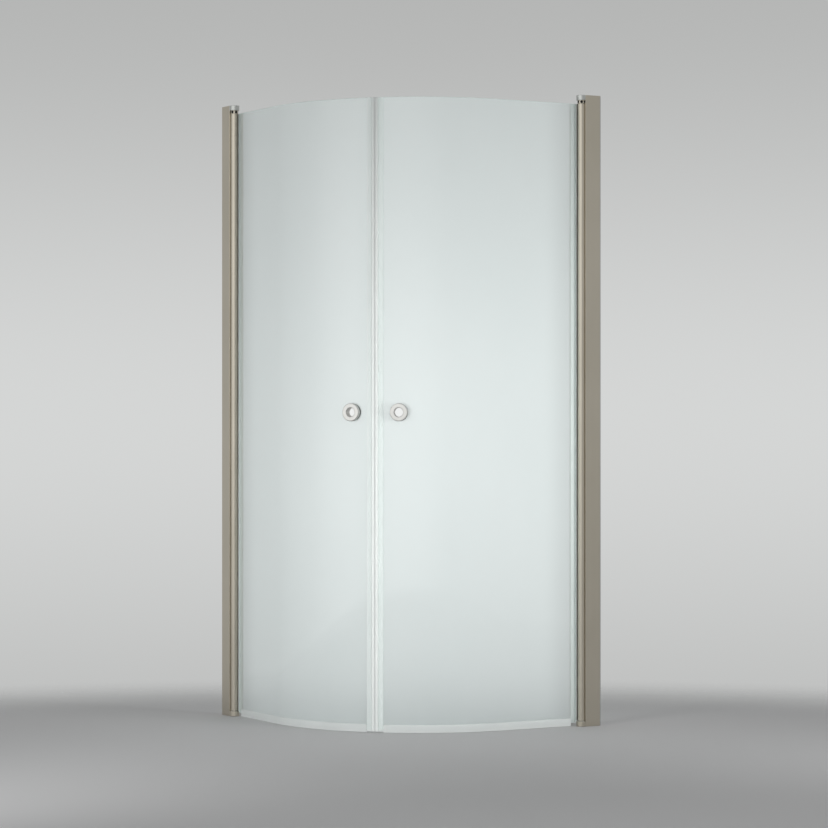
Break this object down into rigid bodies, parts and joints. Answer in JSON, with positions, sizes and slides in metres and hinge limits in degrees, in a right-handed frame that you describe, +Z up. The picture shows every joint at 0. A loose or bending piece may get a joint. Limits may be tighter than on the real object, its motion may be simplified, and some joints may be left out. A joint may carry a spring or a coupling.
{
  "type": "shower screen",
  "caption": "Quadrant corner shower screen with bent glass doors that swing out on pivot tubes beside wall profiles; ring grips, magnetic edge seals and floor seals.",
  "frame": {"origin": "on the floor, under the middle of the screen's square plan", "axes": "+Z up; +Y towards the wall that carries the left profile, +X towards the wall that carries the right one; the corner of the room is at +X +Y"},
  "size_m": [0.9, 0.9, 2],
  "materials": {
    "champagne_aluminium": "satin anodised, warm champagne",
    "mill_aluminium": "plain extruded",
    "satin_grey_metal": "satin grey",
    "stainless_steel": "plain",
    "grey_plastic": "moulded, matt",
    "bearing_plastic": "moulded, smooth",
    "dark_rubber": "matt",
    "bond_tape": "clear foam tape",
    "frosted_glass": "smooth outside, lightly frosted inside",
    "clear_vinyl": "translucent extrusion",
    "magnet_rubber": "white coated magnetic strip",
    "satin_nickel": "satin plated"
  },
  "bodies": {
    "wall_frame": {"left_wall_channel": "mill_aluminium", "left_cover_profile": "champagne_aluminium", "left_top_pivot_bracket": "satin_grey_metal", "left_bottom_pivot_bracket": "champagne_aluminium", "left_bracket_screws": "stainless_steel", "left_cover_screws": "stainless_steel", "left_top_end_cap": "grey_plastic", "left_bottom_end_cap": "grey_plastic", "left_top_pivot_pin": "stainless_steel", "left_bottom_pivot_pin": "stainless_steel", "left_adjusting_collar": "champagne_aluminium", "left_thrust_washer": "bearing_plastic", "right_wall_channel": "mill_aluminium", "right_cover_profile": "champagne_aluminium", "right_top_pivot_bracket": "satin_grey_metal", "right_bottom_pivot_bracket": "champagne_aluminium", "right_bracket_screws": "stainless_steel", "right_cover_screws": "stainless_steel", "right_top_end_cap": "grey_plastic", "right_bottom_end_cap": "grey_plastic", "right_top_pivot_pin": "stainless_steel", "right_bottom_pivot_pin": "stainless_steel", "right_adjusting_collar": "champagne_aluminium", "right_thrust_washer": "bearing_plastic"},
    "left_door": {"left_hinge_tube": "champagne_aluminium", "left_top_tube_bush": "bearing_plastic", "left_bottom_tube_bush": "bearing_plastic", "left_glass_gasket": "dark_rubber", "left_bond_tape": "bond_tape", "left_door_glass": "frosted_glass", "left_magnet_seal": "clear_vinyl", "left_magnet_strip": "magnet_rubber", "left_bottom_seal": "clear_vinyl", "left_outer_grip": "satin_nickel", "left_inner_grip": "satin_nickel", "left_grip_bush": "bearing_plastic", "left_grip_gaskets": "dark_rubber"},
    "right_door": {"right_hinge_tube": "champagne_aluminium", "right_top_tube_bush": "bearing_plastic", "right_bottom_tube_bush": "bearing_plastic", "right_glass_gasket": "dark_rubber", "right_bond_tape": "bond_tape", "right_door_glass": "frosted_glass", "right_magnet_seal": "clear_vinyl", "right_magnet_strip": "magnet_rubber", "right_bottom_seal": "clear_vinyl", "right_outer_grip": "satin_nickel", "right_inner_grip": "satin_nickel", "right_grip_bush": "bearing_plastic", "right_grip_gaskets": "dark_rubber"}
  },
  "joints": [
    {"name": "left_door_hinge", "type": "hinge", "parent": "wall_frame", "child": "left_door", "pos_m": [-0.434, 0.386, 0.0182], "axis": [0, 0, -1], "range_deg": [0, 100]},
    {"name": "right_door_hinge", "type": "hinge", "parent": "wall_frame", "child": "right_door", "pos_m": [0.386, -0.434, 0.0182], "axis": [0, 0, 1], "range_deg": [0, 100]}
  ]
}
